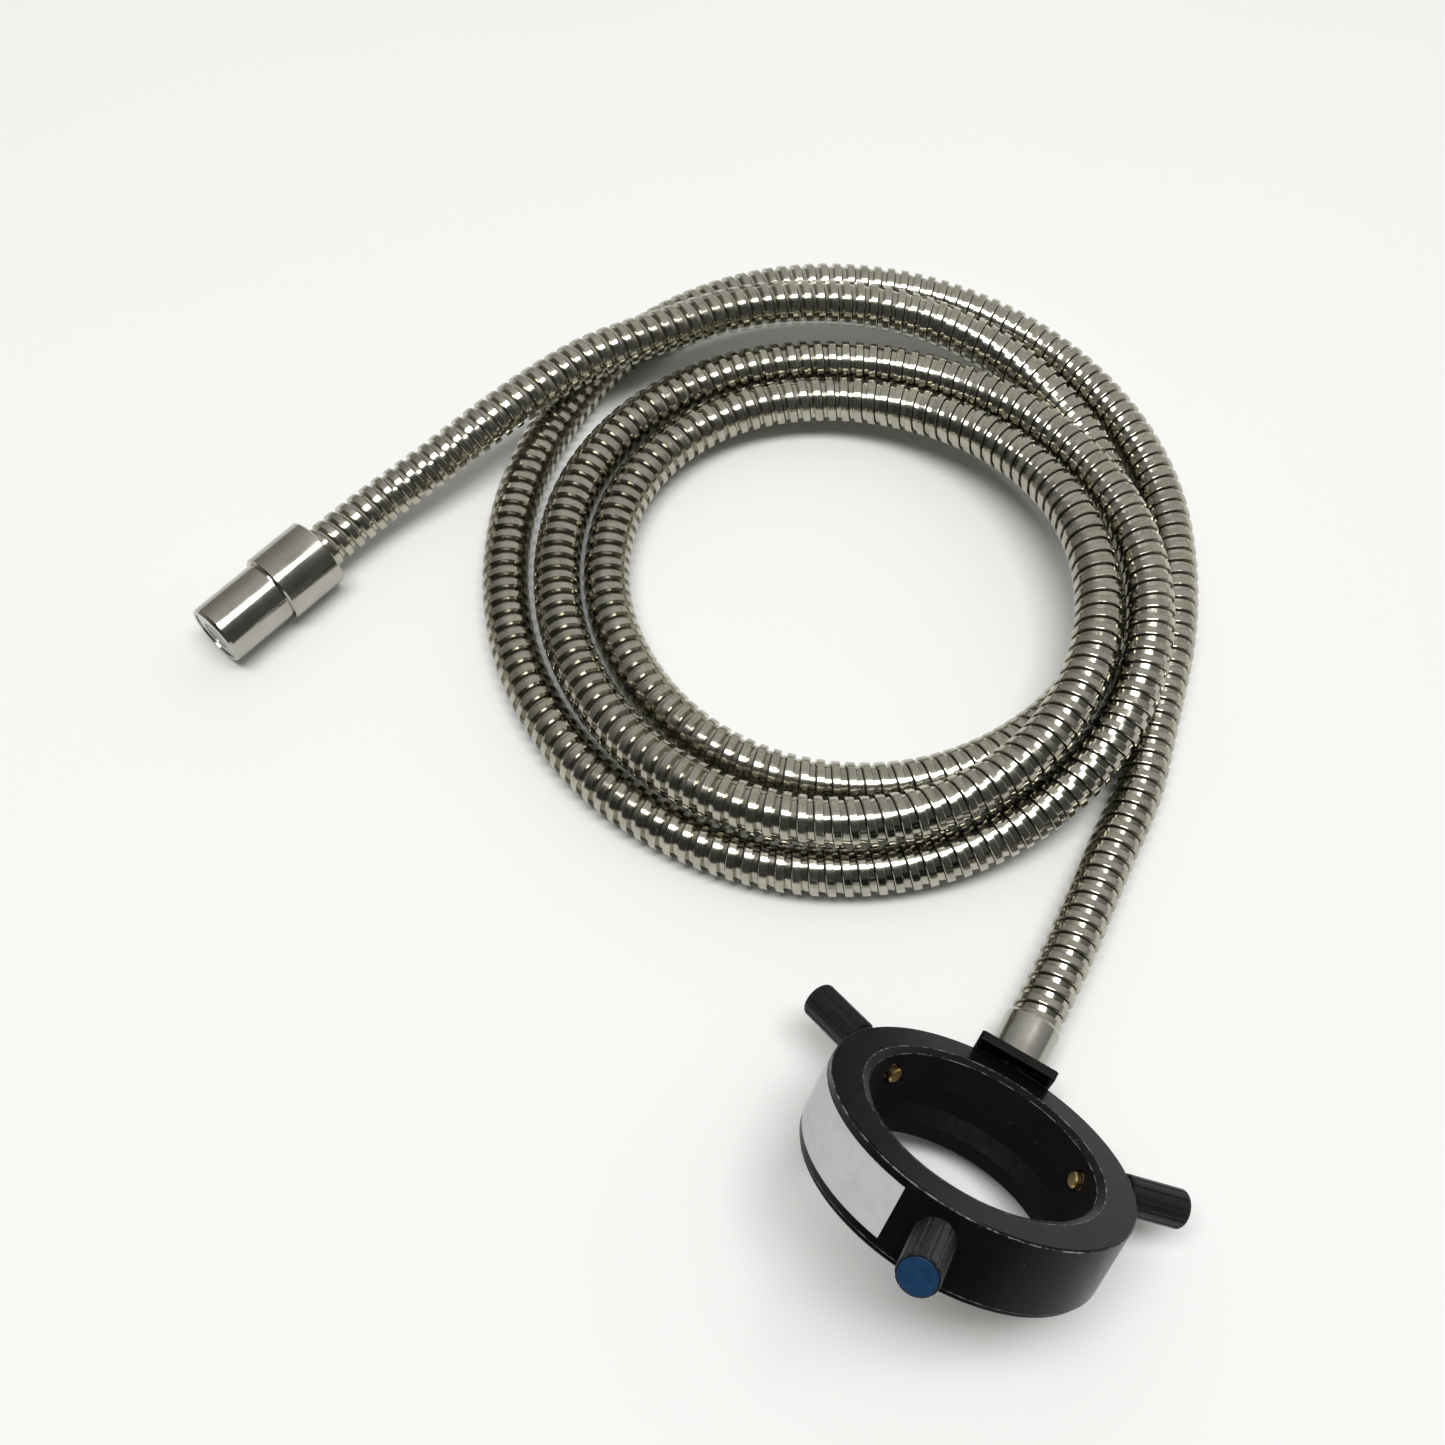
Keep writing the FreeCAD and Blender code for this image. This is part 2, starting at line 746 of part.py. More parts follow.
def make_hose():
    sleeve_end = head * plate_on_head * shift(z=size("plate_thickness") + size("sleeve_length"))
    exit_point = sleeve_end.Base
    exit_way = sleeve_end.Rotation.multVec(UP)
    coil, coil_begin, begin_way, coil_finish, finish_way = coil_path()
    ring_points = [exit_point, exit_point + exit_way * EXIT_RUN]
    ring_points += [Vector(*point) for point in RING_END_POINTS]
    ring_points += [coil_begin - begin_way * EXIT_RUN, coil_begin]
    source_points = [coil_finish, coil_finish + finish_way * EXIT_RUN]
    source_points += [Vector(*point) for point in SOURCE_END_POINTS]
    source_points += [ferrule_start - ferrule_way * ENTRY_RUN, ferrule_start]
    hose_tube("hose_ring_end", straight_and_arcs(ring_points, "hose_ring_end"),
              exit_point, exit_way)
    hose_tube("hose_coil", coil, coil_begin, begin_way)
    hose_tube("hose_source_end", straight_and_arcs(source_points, "hose_source_end"),
              coil_finish, finish_way)
    print_least_gap(coil)


make_ring_housing()
make_liner()
make_fibre_ring()
make_cover_ring()
make_label()
screw_holes = make_plate_screws()
make_plate(screw_holes)
make_block(screw_holes)
make_sleeve()
make_bundle()
for index, screw_name in enumerate(SCREW_NAMES):
    make_thumbscrew(index, screw_name)
make_ferrule()
make_hose()
doc.recompute()

for item in doc.Objects:
    if "Invalid" in item.State or "Error" in item.State:
        raise RuntimeError(f"{item.Label} failed: {item.State}")

os.makedirs("parts", exist_ok=True)
for item in nodes:
    shape = item.Shape
    if shape.isNull() or not shape.isValid():
        raise RuntimeError(f"{item.Label} has no valid shape")
    shape.exportStep(f"parts/{item.Label}.step")
    box = shape.BoundBox
    print(item.Label, len(shape.Solids), round(shape.Volume, 1),
          [round(value, 2) for value in (box.XMin, box.YMin, box.ZMin, box.XMax, box.YMax, box.ZMax)])
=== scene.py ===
import json
import math

import bmesh
import bpy
import numpy as np
from mathutils import Euler, Matrix, Vector


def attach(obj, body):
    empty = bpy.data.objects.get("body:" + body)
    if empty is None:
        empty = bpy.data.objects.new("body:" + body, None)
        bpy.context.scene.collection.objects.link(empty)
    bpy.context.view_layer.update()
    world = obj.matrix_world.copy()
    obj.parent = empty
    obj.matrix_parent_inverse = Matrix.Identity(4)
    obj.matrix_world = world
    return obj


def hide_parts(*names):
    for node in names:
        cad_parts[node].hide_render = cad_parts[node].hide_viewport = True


# The look of a fibre-optic ring light guide that lies on a pale table: a satin black
# head with three thumbscrews, a coil of bright interlocked hose and a polished ferrule.
# Everything is in metres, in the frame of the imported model.

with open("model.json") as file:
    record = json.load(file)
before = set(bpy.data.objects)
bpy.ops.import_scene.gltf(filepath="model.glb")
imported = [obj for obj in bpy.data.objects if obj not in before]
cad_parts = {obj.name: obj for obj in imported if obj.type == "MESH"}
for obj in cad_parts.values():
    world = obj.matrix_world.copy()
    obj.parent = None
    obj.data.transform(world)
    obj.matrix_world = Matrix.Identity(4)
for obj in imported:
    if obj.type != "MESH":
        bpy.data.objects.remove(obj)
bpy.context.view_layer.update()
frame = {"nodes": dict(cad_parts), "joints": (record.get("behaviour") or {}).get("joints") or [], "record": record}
scene = bpy.context.scene
nodes = frame["nodes"]
record = frame["record"]
joints = {joint["name"]: joint for joint in frame["joints"]}
mounts = {mount["name"]: mount for mount in record["mounts"]}

MM = 0.001
UP = Vector((0, 0, 1))
SCREW_NAMES = ["front", "right", "left"]

# Sizes that the dressed pieces share with the solids
BORE_RADIUS = 22.5 * MM
BORE_CHAMFER = 1.5 * MM
CHAMFER_DEPTH = 0.7 * MM
RING_RADIUS = 30.2 * MM
RING_DEPTH = 14.5 * MM
SCREW_DEPTH = 5.0 * MM
HOSE_RADIUS = 5.45 * MM
FERRULE_MIDDLE = 22.8 * MM
LABEL_TOP = -1.9 * MM
LABEL_FOOT = -12.6 * MM
LABEL_BORDER = 0.7 * MM


# Frames of the head, the screws and the ferrule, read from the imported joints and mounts

def frame_matrix(origin, x_axis, z_axis):
    """A frame with its z axis given and its x axis as near as may be to the one given."""
    z_axis = z_axis.normalized()
    y_axis = z_axis.cross(x_axis).normalized()
    x_axis = y_axis.cross(z_axis)
    turn = Matrix((x_axis, y_axis, z_axis)).transposed().to_4x4()
    return Matrix.Translation(origin) @ turn


head_normal = Vector(mounts["objective_bore"]["axis"])
screw_places = {name: Vector(joints["turn_" + name]["pos_m"]) for name in SCREW_NAMES}
screw_ways = {name: Vector(joints["turn_" + name]["axis"]) for name in SCREW_NAMES}
screw_centre = sum(screw_places.values(), Vector()) / len(SCREW_NAMES)
HEAD = frame_matrix(screw_centre + head_normal * SCREW_DEPTH, screw_ways["front"], head_normal)
SCREWS = {name: frame_matrix(screw_places[name], head_normal, screw_ways[name])
          for name in SCREW_NAMES}

ferrule_way = Vector(mounts["source_ferrule"]["axis"])
ferrule_middle = Vector(mounts["source_ferrule"]["pos_m"])
FERRULE = frame_matrix(ferrule_middle - ferrule_way * FERRULE_MIDDLE, UP, ferrule_way)


# Route of the hose, in millimetres on the table, as the solids follow it

HOSE_EXIT = (12.05, 27.82, 8.16)
HOSE_EXIT_WAY = (0.5131, 0.8576, -0.0349)
EXIT_RUN = 14.0
ENTRY_RUN = 15.0
COIL_RUN = 10.9
RING_END_POINTS = [(32.0, 65.5, 6.0)]
COIL_START = (47.8, 104.0, 5.5)
COIL_START_HEADING = 72.0
COIL_EXTREMES = [
    (56.0, 148.0, 5.5),
    (-24.0, 228.0, 5.5),
    (-102.0, 140.5, 5.5),
    (-23.5, 62.0, 5.5),
    (45.5, 126.0, 18.0),
    (-28.0, 199.0, 8.5),
    (-89.5, 139.5, 8.5),
    (-24.0, 69.0, 16.0),
    (33.5, 126.5, 19.5),
    (-28.5, 187.0, 9.0),
    (-78.0, 139.5, 7.0),
    (-21.0, 81.5, 7.0),
    (44.0, 148.0, 6.0),
    (-21.5, 214.0, 13.5),
]
COIL_END = (-63.0, 203.5, 17.5)
COIL_END_HEADING = 206.0
SOURCE_END_POINTS = [(-103.5, 178.0, 16.5), (-121.0, 164.0, 12.0)]
FERRULE_START = (-145.8, 142.2, 8.6)
QUARTER_STEPS = 3
SPLINE_ORDER = 3
SPLINE_STEPS = 24


def heading_vector(degrees):
    angle = math.radians(degrees)
    return Vector((math.cos(angle), math.sin(angle), 0))


def quarter_points(start, start_way, end):
    """Control points of a quarter turn, an ellipse's quarter that climbs smoothly."""
    start = Vector(start)
    end = Vector(end)
    corner = start + start_way * (end - start).dot(start_way)
    centre = start + end - corner
    step = math.pi / 2 / QUARTER_STEPS
    outward = 1 / math.cos(step / 2)
    points = []
    for i in range(QUARTER_STEPS):
        angle = step * (i + 0.5)
        turn = (start - centre) * math.cos(angle) + (end - centre) * math.sin(angle)
        point = centre + turn * outward
        share = angle / (math.pi / 2)
        point.z = start.z + (end.z - start.z) * share * share * (3 - 2 * share)
        points.append(point)
    return points


def corner_point(start, start_way, end, end_way):
    """Where the tangents of a short bend meet."""
    across = Vector((-end_way.y, end_way.x, 0))
    reach = (end - start).dot(across) / start_way.dot(across)
    point = start + start_way * reach
    point.z = (start.z + end.z) / 2
    return point


def route_points():
    """The control points of the whole hose, from the sleeve to the ferrule's collar."""
    exit_point = Vector(HOSE_EXIT)
    coil_start = Vector(COIL_START)
    coil_end = Vector(COIL_END)
    start_way = heading_vector(COIL_START_HEADING)
    end_way = heading_vector(COIL_END_HEADING)
    coil_begin = coil_start - start_way * COIL_RUN
    coil_finish = coil_end + end_way * COIL_RUN
    first = Vector(COIL_EXTREMES[0])
    last = Vector(COIL_EXTREMES[-1])
    ferrule_start = Vector(FERRULE_START)
    points = [exit_point, exit_point + Vector(HOSE_EXIT_WAY) * EXIT_RUN]
    points += [Vector(point) for point in RING_END_POINTS]
    points += [coil_begin - start_way * EXIT_RUN, coil_begin]
    points.append(corner_point(coil_start, start_way, first, heading_vector(90)))
    for i, (start, end) in enumerate(zip(COIL_EXTREMES, COIL_EXTREMES[1:])):
        points += quarter_points(start, heading_vector(90 + 90 * i), end)
    points.append(corner_point(last, heading_vector(180), coil_end, end_way))
    points += [coil_finish, coil_finish + end_way * EXIT_RUN]
    points += [Vector(point) for point in SOURCE_END_POINTS]
    points += [ferrule_start - ferrule_way * ENTRY_RUN, ferrule_start]
    return [point * MM for point in points]


def spline_line(control):
    """Points along the NURBS spline of order 3 that the control points steer."""
    curve = bpy.data.curves.new("route", "CURVE")
    curve.dimensions = "3D"
    curve.resolution_u = SPLINE_STEPS
    spline = curve.splines.new("NURBS")
    spline.points.add(len(control) - 1)
    for point, place in zip(spline.points, control):
        point.co = (*place, 1)
    spline.order_u = SPLINE_ORDER
    spline.use_endpoint_u = True
    holder = bpy.data.objects.new("route", curve)
    mesh = bpy.data.meshes.new_from_object(holder)
    line = np.array([vertex.co[:] for vertex in mesh.vertices])
    bpy.data.objects.remove(holder)
    bpy.data.curves.remove(curve)
    bpy.data.meshes.remove(mesh)
    return line


def even_line(line, count):
    """The same line in evenly spaced points, and its length."""
    steps = np.linalg.norm(np.diff(line, axis=0), axis=1)
    along = np.concatenate([[0], np.cumsum(steps)])
    places = np.linspace(0, along[-1], count)
    return np.stack([np.interp(places, along, line[:, k]) for k in range(3)], axis=1), along[-1]


def carried_frames(line):
    """Tangents and a pair of normals carried along a line without twisting."""
    tangents = np.gradient(line, axis=0)
    tangents /= np.linalg.norm(tangents, axis=1)[:, None]
    sides = np.zeros_like(line)
    side = np.cross(tangents[0], UP)
    for i, tangent in enumerate(tangents):
        side = side - tangent * side.dot(tangent)
        side /= np.linalg.norm(side)
        sides[i] = side
    return tangents, sides, np.cross(tangents, sides)


def smoothed(data, width):
    """A running mean of each column."""
    kernel = np.ones(width) / width
    padded = np.pad(data, ((width // 2, width // 2), (0, 0)), mode="edge")
    return np.stack([np.convolve(padded[:, k], kernel, mode="valid") for k in range(3)], axis=1)


# Interlocked hose: one strip wound in a right-handed helix. Each turn has a raised band
# and a floor that climbs to the groove where the next band starts.

HOSE_PITCH = 3.45 * MM
STEPS_PER_TURN = 22
SPARE_TURNS = 3
LINE_POINTS = 6000
BEND_WINDOW = 61
MERGE_DISTANCE = 0.002 * MM

# Across the strip: share of the pitch, and depth under the hose's radius in millimetres
BAND_PROFILE = [
    (0.000, 1.25),
    (0.016, 0.45),
    (0.034, 0.15),
    (0.072, 0.04),
    (0.118, 0.00),
    (0.540, 0.00),
    (0.570, 0.07),
    (0.588, 0.95),
]
FLOOR_END = (0.965, 0.70)


def mesh_object(name, vertices, faces, smooth=True):
    """A new object in the scene, from points and faces."""
    mesh = bpy.data.meshes.new(name)
    mesh.from_pydata(vertices, [], faces)
    mesh.update()
    mesh.polygons.foreach_set("use_smooth", [smooth] * len(mesh.polygons))
    item = bpy.data.objects.new(name, mesh)
    scene.collection.objects.link(item)
    return item


def finish_strip(mesh, count):
    """Crisp edges along the strip, and no points that coincide or carry no face."""
    work = bmesh.new()
    work.from_mesh(mesh)
    for edge in work.edges:
        first, second = edge.verts
        edge.smooth = first.index % count != second.index % count
    bmesh.ops.remove_doubles(work, verts=work.verts, dist=MERGE_DISTANCE)
    spare = [vertex for vertex in work.verts if not vertex.link_faces]
    bmesh.ops.delete(work, geom=spare, context="VERTS")
    work.to_mesh(mesh)
    work.free()


def make_hose():
    """The strip's mesh, wound along the route, with the route's line and length."""
    line, length = even_line(spline_line(route_points()), LINE_POINTS)
    tangents, sides, ups = carried_frames(line)
    bend = smoothed(np.gradient(tangents, length / (LINE_POINTS - 1), axis=0), BEND_WINDOW)
    places = np.linspace(0, length, LINE_POINTS)

    def along(data, at):
        return np.stack([np.interp(at, places, data[:, k]) for k in range(3)], axis=1)

    turns = int(length / HOSE_PITCH)
    rows = (turns + SPARE_TURNS) * STEPS_PER_TURN
    angle = np.arange(rows) * math.tau / STEPS_PER_TURN
    start = angle / math.tau * HOSE_PITCH - HOSE_PITCH
    cosine = np.cos(angle)[:, None]
    sine = np.sin(angle)[:, None]
    outward = along(sides, start) * cosine + along(ups, start) * sine
    stretch = 1 - (along(bend, start) * outward).sum(axis=1) * HOSE_RADIUS
    band = [(HOSE_PITCH * share / stretch, depth) for share, depth in BAND_PROFILE]
    floor_end = HOSE_PITCH * (1 - (1 - FLOOR_END[0]) / stretch)
    columns = []
    past_ends = []
    for reach, depth in band + [(floor_end, FLOOR_END[1])]:
        at = start + reach
        past_ends.append((at <= 0) | (at >= length))
        at = np.clip(at, 0, length)
        outward = along(sides, at) * cosine + along(ups, at) * sine
        columns.append(along(line, at) + outward * (HOSE_RADIUS - depth * MM))
    count = len(columns)
    vertices = np.stack(columns, axis=1).reshape(-1, 3)
    past_ends = np.stack(past_ends, axis=1).reshape(-1)
    faces = []
    for row in range(rows - 1):
        for k in range(count):
            here = row * count + k
            ahead = here + count
            if k < count - 1:
                faces.append((here, ahead, ahead + 1, here + 1))
            elif row + STEPS_PER_TURN + 1 < rows:
                turn_on = (row + STEPS_PER_TURN) * count
                faces.append((here, ahead, turn_on + count, turn_on))
    faces = [face for face in faces if not past_ends[list(face)].all()]
    hose = mesh_object("interlocked_hose", vertices.tolist(), faces)
    finish_strip(hose.data, count)
    return hose, line, length


# Shader graphs

class Graph:
    """A material's node tree, with short ways to add and join its nodes."""

    def __init__(self, name):
        self.material = bpy.data.materials.new(name)
        self.material.use_nodes = True
        self.tree = self.material.node_tree
        self.shader = self.tree.nodes["Principled BSDF"]

    def add(self, kind, inputs=None, **settings):
        item = self.tree.nodes.new("ShaderNode" + kind)
        for key, value in settings.items():
            setattr(item, key, value)
        for key, value in (inputs or {}).items():
            self.put(item, key, value)
        return item

    def put(self, item, key, value):
        socket = item.inputs[key]
        if isinstance(value, bpy.types.NodeSocket):
            self.tree.links.new(value, socket)
        elif socket.type == "RGBA":
            socket.default_value = (*value, 1)
        else:
            socket.default_value = value

    def set(self, **values):
        for key, value in values.items():
            self.put(self.shader, key.replace("_", " "), value)

    def math(self, operation, first, second=0.0, third=0.0, clamp=False):
        return self.add("Math", {0: first, 1: second, 2: third},
                        operation=operation, use_clamp=clamp).outputs[0]

    def remap(self, value, low, high, to_low, to_high, smooth=False):
        """A value's range stretched to another, held at both ends."""
        inputs = {"Value": value, "From Min": low, "From Max": high,
                  "To Min": to_low, "To Max": to_high}
        kind = "SMOOTHSTEP" if smooth else "LINEAR"
        return self.add("MapRange", inputs, interpolation_type=kind).outputs["Result"]

    def mix(self, share, first, second):
        item = self.add("Mix", data_type="RGBA")
        for index, value in ((0, share), (6, first), (7, second)):
            self.put(item, index, value)
        return item.outputs[2]

    def noise(self, place, scale, detail=3.0, roughness=0.5):
        inputs = {"Vector": place, "Scale": scale, "Detail": detail, "Roughness": roughness}
        return self.add("TexNoise", inputs).outputs[0]

    def bump(self, height, distance, strength=1.0):
        inputs = {"Height": height, "Distance": distance, "Strength": strength}
        self.put(self.shader, "Normal", self.add("Bump", inputs).outputs[0])

    def place(self, local=None):
        """Coordinates in metres, in the model's frame or in a piece's own."""
        point = self.add("TexCoord").outputs["Object"]
        if local is not None:
            inverse = local.inverted()
            point = self.add("Mapping", {"Vector": point, "Location": inverse.to_translation(),
                                         "Rotation": inverse.to_euler()}).outputs[0]
        return point

    def about_axis(self, local):
        """Radius and height about a piece's own axis."""
        parts = self.add("SeparateXYZ", {0: self.place(local)}).outputs
        across = self.math("MULTIPLY", parts[0], parts[0])
        across = self.math("MULTIPLY_ADD", parts[1], parts[1], across)
        return self.math("SQRT", across), parts[2]


def edge_line(graph, radius, height, at_radius, at_height, width):
    """One along a turned edge, falling to zero a width away from it."""
    out = graph.math("SUBTRACT", radius, at_radius)
    up = graph.math("SUBTRACT", height, at_height)
    far = graph.math("MULTIPLY_ADD", up, up, graph.math("MULTIPLY", out, out))
    return graph.remap(graph.math("SQRT", far), width * 0.3, width, 1, 0, smooth=True)


# Materials

def black_finish():
    """Satin black coating, with light grey lines along the ring's turned edges: partly rubbed bare metal, partly
    painted edge highlights.
    """
    graph = Graph("black_finish")
    radius, height = graph.about_axis(HEAD)
    place = graph.place(HEAD)
    # Light grey lines along the turned edges of the bore and the ring, broken into ragged patches: partly wear to
    # bare metal, partly painted highlight on the edges
    edges = [
        (BORE_RADIUS + BORE_CHAMFER, 0.0, 0.16 * MM),
        (BORE_RADIUS, -CHAMFER_DEPTH, 0.12 * MM),
        (RING_RADIUS, -0.3 * MM, 0.22 * MM),
        (RING_RADIUS, 0.3 * MM - RING_DEPTH, 0.20 * MM),
    ]
    wear_and_edge_highlight = 0.0
    for at_radius, at_height, width in edges:
        line = edge_line(graph, radius, height, at_radius, at_height, width)
        wear_and_edge_highlight = graph.math("MAXIMUM", wear_and_edge_highlight, line)
    patches = graph.remap(graph.noise(place, 420, 5, 0.7), 0.47, 0.60, 0.04, 1.0)
    wear_and_edge_highlight = graph.math("MULTIPLY", wear_and_edge_highlight, patches, clamp=True)
    specks = graph.remap(graph.noise(place, 1500, 2, 0.6), 0.72, 0.78, 0, 0.5)
    wear_and_edge_highlight = graph.math("MAXIMUM", wear_and_edge_highlight, specks)
    shade = graph.remap(graph.noise(place, 180, 5), 0.3, 0.7, 0, 1)
    coat = graph.mix(shade, (0.0028, 0.0028, 0.003), (0.005, 0.005, 0.0052))
    gloss = graph.remap(graph.noise(place, 420, 4), 0.3, 0.7, 0.26, 0.34)
    inside = graph.remap(radius, BORE_RADIUS + 0.1 * MM, BORE_RADIUS + 0.3 * MM, 1, 0)
    # The light grey (0.24, 0.235, 0.22) along the edges is worn metal and painted edge highlight in one
    graph.set(Base_Color=graph.mix(wear_and_edge_highlight, coat, (0.24, 0.235, 0.22)),
              Roughness=graph.math("MULTIPLY_ADD", inside, 0.45, gloss),
              Specular_IOR_Level=0.13)
    graph.bump(graph.noise(place, 2600, 2), 0.012 * MM, 0.35)
    return graph.material


def bore_black():
    """Matt black inside the bore, with a little dust."""
    graph = Graph("bore_black")
    place = graph.place(HEAD)
    dust = graph.remap(graph.noise(place, 900, 5, 0.7), 0.5, 0.8, 0, 1)
    graph.set(Base_Color=graph.mix(dust, (0.002, 0.002, 0.0022), (0.006, 0.006, 0.006)),
              Roughness=graph.remap(graph.noise(place, 600, 3), 0.3, 0.7, 0.66, 0.80),
              Specular_IOR_Level=0.15)
    graph.bump(graph.noise(place, 2600, 2), 0.012 * MM, 0.35)
    return graph.material


def knob_plastic():
    """Moulded black with a faint grain and dusty flutes."""
    graph = Graph("knob_plastic")
    place = graph.place()
    dust = graph.remap(graph.noise(place, 700, 5, 0.7), 0.45, 0.75, 0, 1)
    graph.set(Base_Color=graph.mix(dust, (0.005, 0.005, 0.0055), (0.012, 0.012, 0.0125)),
              Roughness=graph.remap(graph.noise(place, 900, 3), 0.3, 0.7, 0.36, 0.48),
              Specular_IOR_Level=0.3)
    graph.bump(graph.noise(place, 4200, 2), 0.015 * MM, 0.4)
    return graph.material


def cap_blue(screw):
    """Moulded blue disc with fine scratches, and painted shade on its border where it sits in the knob's recess.
    """
    graph = Graph("cap_blue_" + screw)
    radius, height = graph.about_axis(SCREWS[screw])
    place = graph.place()
    # Painted shade: the outer border of the disc is darkened towards (0.003, 0.018, 0.048), standing in for the
    # shade in the knob's recess around it
    painted_rim_shade = graph.remap(radius, 2.9 * MM, 3.4 * MM, 0, 0.6)
    cloud = graph.remap(graph.noise(place, 500, 5, 0.6), 0.35, 0.65, 0, 1)
    face = graph.mix(cloud, (0.004, 0.034, 0.092), (0.007, 0.050, 0.130))
    graph.set(Base_Color=graph.mix(painted_rim_shade, face, (0.003, 0.018, 0.048)),
              Roughness=graph.remap(graph.noise(place, 1500, 3), 0.3, 0.7, 0.38, 0.55),
              Specular_IOR_Level=0.3)
    graph.bump(graph.noise(place, 3000, 3), 0.02 * MM, 0.4)
    return graph.material


def turned_metal(name, light, dark, local, roughness, line_scale):
    """Turned and plated metal: fine rings round the axis and faint smears."""
    graph = Graph(name)
    radius, height = graph.about_axis(local)
    rings = graph.add("CombineXYZ", {0: height, 1: radius}).outputs[0]
    lines = graph.noise(rings, line_scale, 4, 0.7)
    smear = graph.noise(graph.place(local), 160, 4)
    shade = graph.remap(graph.math("ADD", lines, smear), 0.7, 1.3, 0, 1)
    low, high = roughness
    graph.set(Base_Color=graph.mix(shade, dark, light), Metallic=1.0,
              Roughness=graph.remap(smear, 0.3, 0.7, low, high))
    graph.bump(lines, 0.002 * MM, 0.25)
    return graph.material


def hose_steel():
    """Bright drawn strip with rub marks across the bands."""
    graph = Graph("hose_steel")
    place = graph.place()
    smear = graph.noise(place, 220, 5, 0.6)
    marks = graph.noise(place, 1800, 3, 0.6)
    shade = graph.remap(graph.math("MULTIPLY_ADD", marks, 0.5, smear), 0.55, 0.95, 0, 1)
    graph.set(Base_Color=graph.mix(shade, (0.34, 0.333, 0.275), (0.50, 0.488, 0.41)),
              Metallic=1.0,
              Roughness=graph.remap(marks, 0.3, 0.75, 0.12, 0.22))
    graph.bump(graph.noise(place, 2400, 2), 0.004 * MM, 0.3)
    return graph.material


def fibre_glass():
    """The polished ends of packed glass fibres."""
    graph = Graph("fibre_glass")
    place = graph.place()
    cells = graph.add("TexVoronoi", {"Vector": place, "Scale": 9000.0}).outputs["Distance"]
    fleck = graph.remap(graph.noise(place, 1100, 3), 0.35, 0.65, 0, 1)
    glass = graph.mix(fleck, (0.20, 0.20, 0.185), (0.34, 0.34, 0.32))
    gaps = graph.remap(cells, 0.2, 0.7, 0, 0.7)
    graph.set(Base_Color=graph.mix(gaps, glass, (0.06, 0.06, 0.055)), Roughness=0.18)
    return graph.material


def label_paper():
    """Blank satin label, a little soiled along its edges."""
    graph = Graph("label_paper")
    radius, height = graph.about_axis(HEAD)
    place = graph.place(HEAD)
    soil = graph.remap(graph.noise(place, 240, 5, 0.65), 0.45, 0.75, 0, 0.6)
    top = graph.remap(height, LABEL_TOP - LABEL_BORDER, LABEL_TOP, 0, 0.35)
    foot = graph.remap(height, LABEL_FOOT, LABEL_FOOT + LABEL_BORDER, 0.35, 0)
    dirt = graph.math("MAXIMUM", soil, graph.math("MAXIMUM", top, foot))
    graph.set(Base_Color=graph.mix(dirt, (0.60, 0.61, 0.61), (0.47, 0.475, 0.47)),
              Roughness=graph.remap(graph.noise(place, 900, 3), 0.3, 0.7, 0.40, 0.52))
    graph.bump(graph.noise(place, 1300, 4), 0.02 * MM, 0.3)
    return graph.material


def table_top():
    """White laminate."""
    graph = Graph("table_top")
    place = graph.place()
    cloud = graph.remap(graph.noise(place, 3, 3), 0.3, 0.7, 0, 1)
    graph.set(Base_Color=graph.mix(cloud, (0.925, 0.93, 0.915), (0.94, 0.945, 0.93)),
              Roughness=0.6, Specular_IOR_Level=0.2)
    return graph.material


def paint(item, material):
    item.data.materials.clear()
    item.data.materials.append(material)


# Table, light and camera

TABLE_REACH = 3.0
LAMP_TARGET = (-0.02, 0.10, 0.0)
LAMP_PLACE = (-0.02, -0.02, 1.60)
LAMP_WIDTH = 1.3
LAMP_LENGTH = 0.44
LAMP_POWER = 19.5


def make_table():
    reach = TABLE_REACH
    corners = [(-reach, -reach, 0), (reach, -reach, 0), (reach, reach, 0), (-reach, reach, 0)]
    table = mesh_object("table", corners, [(0, 1, 2, 3)], smooth=False)
    paint(table, table_top())


def make_lamp():
    data = bpy.data.lights.new("ceiling_panel", "AREA")
    data.shape = "RECTANGLE"
    data.size = LAMP_WIDTH
    data.size_y = LAMP_LENGTH
    data.energy = LAMP_POWER
    lamp = bpy.data.objects.new("ceiling_panel", data)
    scene.collection.objects.link(lamp)
    lamp.location = LAMP_PLACE
    way = Vector(LAMP_TARGET) - Vector(LAMP_PLACE)
    lamp.rotation_euler = way.to_track_quat("-Z", "Y").to_euler()


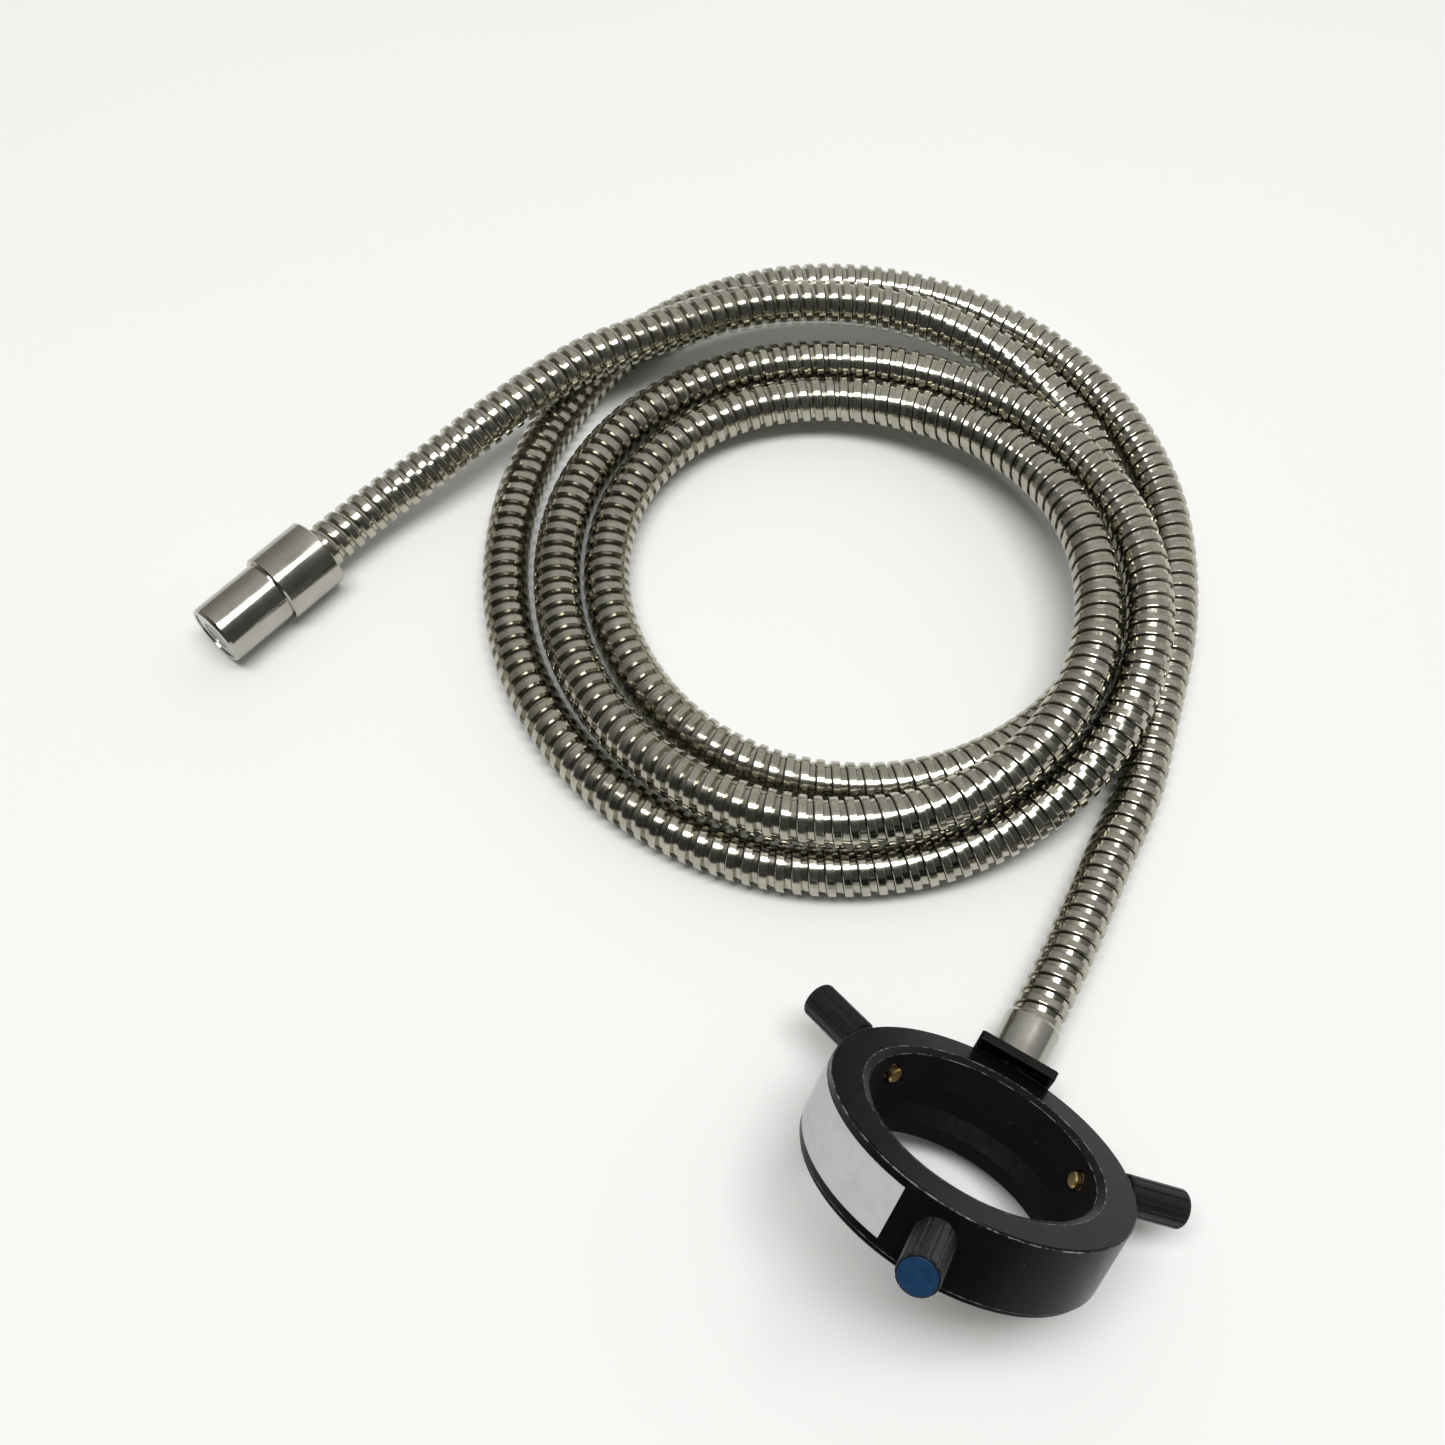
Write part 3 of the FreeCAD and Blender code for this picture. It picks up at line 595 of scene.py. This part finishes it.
def make_room():
    """A grey room, darker behind the camera and to its left."""
    world = bpy.data.worlds.new("room")
    world.use_nodes = True
    tree = world.node_tree
    background = tree.nodes["Background"]
    way = tree.nodes.new("ShaderNodeTexCoord").outputs["Generated"]
    parts = tree.nodes.new("ShaderNodeSeparateXYZ")
    tree.links.new(way, parts.inputs[0])

    def fall(value, low, high, to_low, to_high):
        item = tree.nodes.new("ShaderNodeMapRange")
        item.interpolation_type = "SMOOTHSTEP"
        for key, number in (("From Min", low), ("From Max", high),
                            ("To Min", to_low), ("To Max", to_high)):
            item.inputs[key].default_value = number
        tree.links.new(value, item.inputs["Value"])
        return item.outputs["Result"]

    product = tree.nodes.new("ShaderNodeMath")
    product.operation = "MULTIPLY"
    tree.links.new(fall(parts.outputs["Y"], -0.45, 0.25, 0.10, 0.62), product.inputs[0])
    tree.links.new(fall(parts.outputs["X"], -0.75, 0.0, 0.45, 1.0), product.inputs[1])
    tree.links.new(product.outputs[0], background.inputs["Strength"])
    background.inputs["Color"].default_value = (1.0, 0.99, 0.96, 1)
    scene.world = world


CAMERA_PLACE = (-0.05083, -0.07209, 0.32594)
CAMERA_PITCH = 62.0
PHOTO_WIDTH = 1445
FOCAL_PIXELS = 1619.06
SENSOR = 36.0
CLIP_START = 0.01


def make_camera():
    data = bpy.data.cameras.new("camera")
    data.sensor_width = SENSOR
    data.lens = SENSOR * FOCAL_PIXELS / PHOTO_WIDTH
    data.clip_start = CLIP_START
    camera = bpy.data.objects.new("camera", data)
    scene.collection.objects.link(camera)
    camera.location = CAMERA_PLACE
    camera.rotation_euler = Euler((math.radians(90 - CAMERA_PITCH), 0, 0))
    scene.camera = camera


scene.view_settings.view_transform = "Standard"
make_table()
make_lamp()
make_room()
make_camera()

black = black_finish()
for name in ("ring_housing", "bottom_cover_ring", "flange_plate", "boss_block", "flange_screws"):
    paint(nodes[name], black)
paint(nodes["bore_liner"], bore_black())
nickel = turned_metal("nickel", (0.47, 0.46, 0.41), (0.36, 0.35, 0.305), FERRULE, (0.09, 0.17), 5200)
for name in ("ferrule_collar", "ferrule_tube", "ferrule_insert"):
    paint(nodes[name], nickel)
paint(nodes["hose_sleeve"], turned_metal("sleeve_nickel", (0.50, 0.495, 0.45), (0.38, 0.37, 0.33),
                                         HEAD, (0.14, 0.26), 2600))
glass = fibre_glass()
for name in ("fibre_ring", "fibre_bundle", "fibre_end"):
    paint(nodes[name], glass)
plastic = knob_plastic()
for name in SCREW_NAMES:
    brass = turned_metal("brass_" + name, (0.62, 0.46, 0.20), (0.34, 0.24, 0.10), SCREWS[name],
                         (0.22, 0.4), 4200)
    paint(nodes["thumbscrew_stud_" + name], brass)
    paint(nodes["thumbscrew_knob_" + name], plastic)
    paint(nodes["thumbscrew_cap_" + name], cap_blue(name))
paint(nodes["blank_label"], label_paper())

hose, hose_line, hose_length = make_hose()
paint(hose, hose_steel())
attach(hose, "head")
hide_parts("hose_ring_end", "hose_coil", "hose_source_end")
